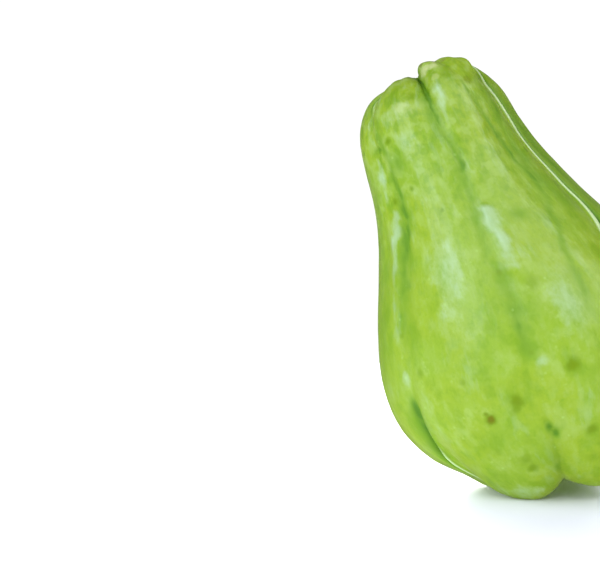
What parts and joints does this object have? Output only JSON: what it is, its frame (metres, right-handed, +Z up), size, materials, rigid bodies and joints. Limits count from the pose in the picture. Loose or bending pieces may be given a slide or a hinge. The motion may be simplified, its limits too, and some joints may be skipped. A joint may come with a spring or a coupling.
{
  "type": "chayote squash",
  "caption": "Whole pale green chayote squash, pear-shaped with furrowed lobes and a leaning neck, standing on the lobes of its blossom end.",
  "frame": {"origin": "bottom centre of the fruit's box, on the surface that it stands on", "axes": "+Z up towards the stem end, +X to the right, -Y towards the front; the neck leans towards -X"},
  "size_m": [0.1012, 0.0804, 0.1322],
  "materials": {
    "green_skin": "waxy semi-gloss plant skin, light yellow-green, darker in the furrows"
  },
  "bodies": {
    "root": {"chayote_fruit": "green_skin"}
  },
  "joints": []
}
